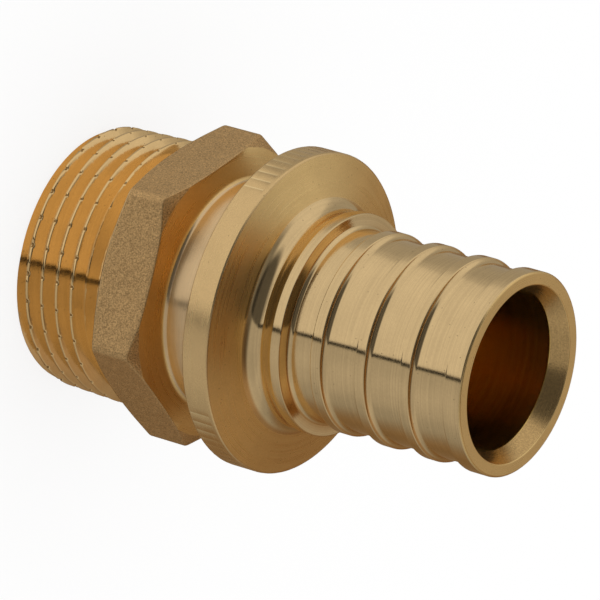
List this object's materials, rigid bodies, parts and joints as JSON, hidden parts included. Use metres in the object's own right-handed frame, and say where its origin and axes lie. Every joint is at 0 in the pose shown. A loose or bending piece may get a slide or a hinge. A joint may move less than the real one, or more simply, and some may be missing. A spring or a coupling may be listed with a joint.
{
  "type": "pipe adapter",
  "caption": "Turned brass adapter with a male taper pipe thread, a spanner hexagon, a collar and a ribbed spigot for a plastic pipe.",
  "frame": {"origin": "centre of the end face of the threaded end, on which the adapter stands", "axes": "+Z along the bore axis from the threaded end to the mouth of the spigot, +X square to a flat of the hexagon"},
  "size_m": [0.0316, 0.0316, 0.0496],
  "materials": {
    "brass": "turned from a pressed blank: bright turned surfaces, with the hexagon's flats and the collar's rim left with a fine grain"
  },
  "bodies": {
    "root": {"adapter": "brass"}
  },
  "joints": []
}
